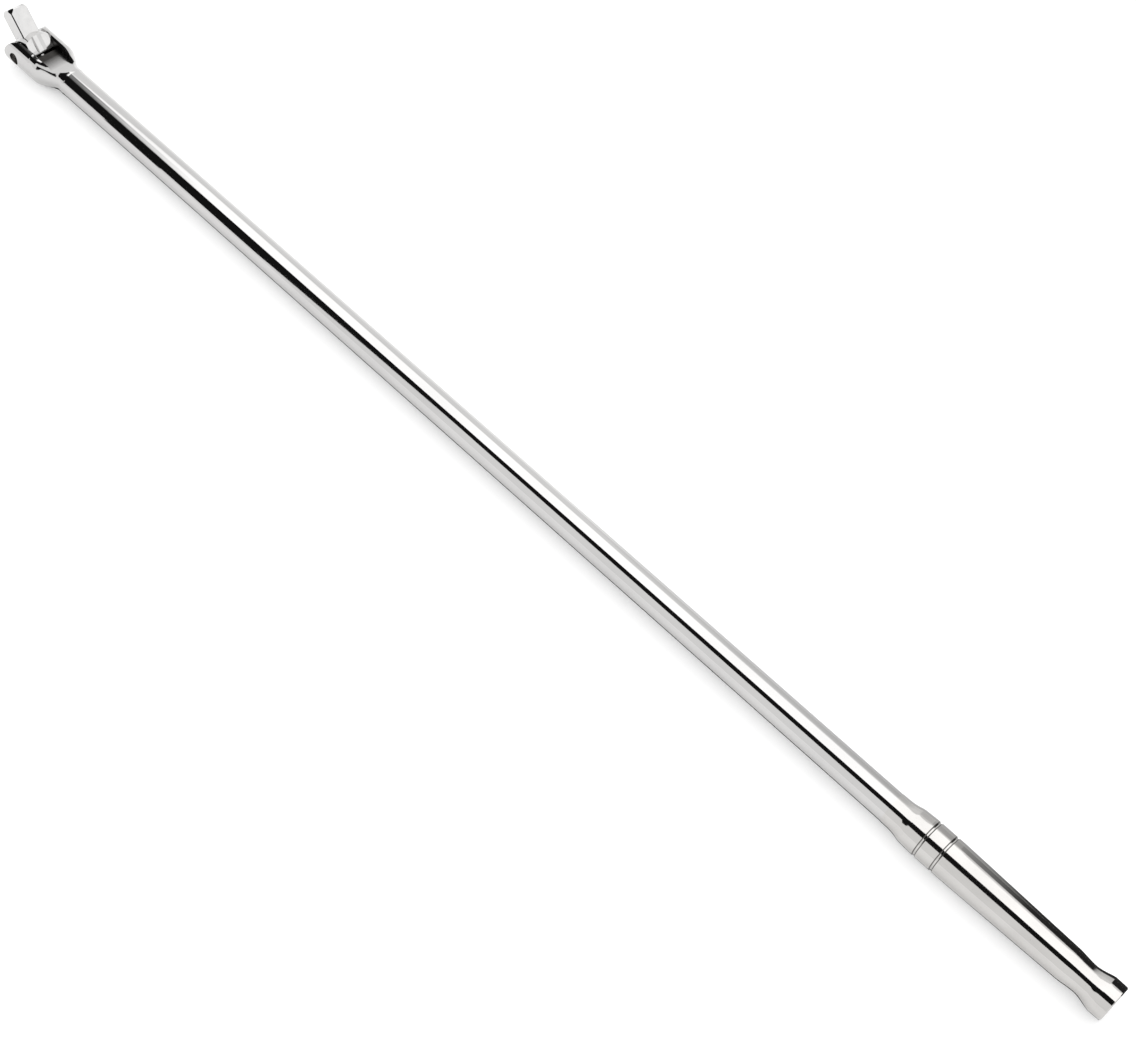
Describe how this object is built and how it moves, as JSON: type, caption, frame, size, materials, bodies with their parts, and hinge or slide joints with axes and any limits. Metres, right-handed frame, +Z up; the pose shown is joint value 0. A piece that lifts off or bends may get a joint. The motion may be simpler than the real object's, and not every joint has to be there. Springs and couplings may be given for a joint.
{
  "type": "flex-head breaker bar",
  "caption": "Long chromed steel bar with a forked head, a pinned swivelling square drive for sockets, and a tapered grip sleeve with rolled grooves and a flared butt.",
  "frame": {"origin": "bottom centre of the whole tool as it lies with its head raised", "axes": "+X along the bar from its head to its butt, +Y along the pivot pin, +Z up"},
  "size_m": [0.9094, 0.0328, 0.0363],
  "materials": {
    "polished_chrome": "mirror-polished nickel chrome plate on forged alloy steel",
    "sleeve_chrome": "mirror-polished chrome plate on drawn steel tube",
    "drive_chrome": "polished chrome plate on machined steel",
    "pin_steel": "dark oiled hardened steel",
    "plug_steel": "satin chrome plate on turned steel",
    "ball_steel": "bright hardened bearing steel",
    "spring_steel": "oil-tempered spring wire"
  },
  "bodies": {
    "handle": {"bar": "polished_chrome", "grip_sleeve": "sleeve_chrome", "end_plug": "plug_steel", "pivot_pin": "pin_steel", "detent_spring": "spring_steel"},
    "head": {"drive_tang": "drive_chrome", "socket_ball_spring": "spring_steel"},
    "socket_ball": {"socket_ball": "ball_steel"},
    "detent_ball": {"detent_ball": "ball_steel"}
  },
  "joints": [
    {"name": "flex_hinge", "type": "hinge", "parent": "handle", "child": "head", "pos_m": [-0.43118, 0, 0.0117], "axis": [0, 1, 0], "range_deg": [-152, 58]},
    {"name": "socket_ball_press", "type": "slide", "parent": "head", "child": "socket_ball", "axis": [0, 1, 0], "range_m": [-0.0009, 0], "stiffness_N_per_m": 900, "springref_m": 0.0012, "deforming": ["socket_ball_spring"]},
    {"name": "detent_ball_press", "type": "slide", "parent": "handle", "child": "detent_ball", "axis": [1, 0, 0], "range_m": [0, 0.0013], "stiffness_N_per_m": 1500, "springref_m": -0.002, "deforming": ["detent_spring"]}
  ]
}
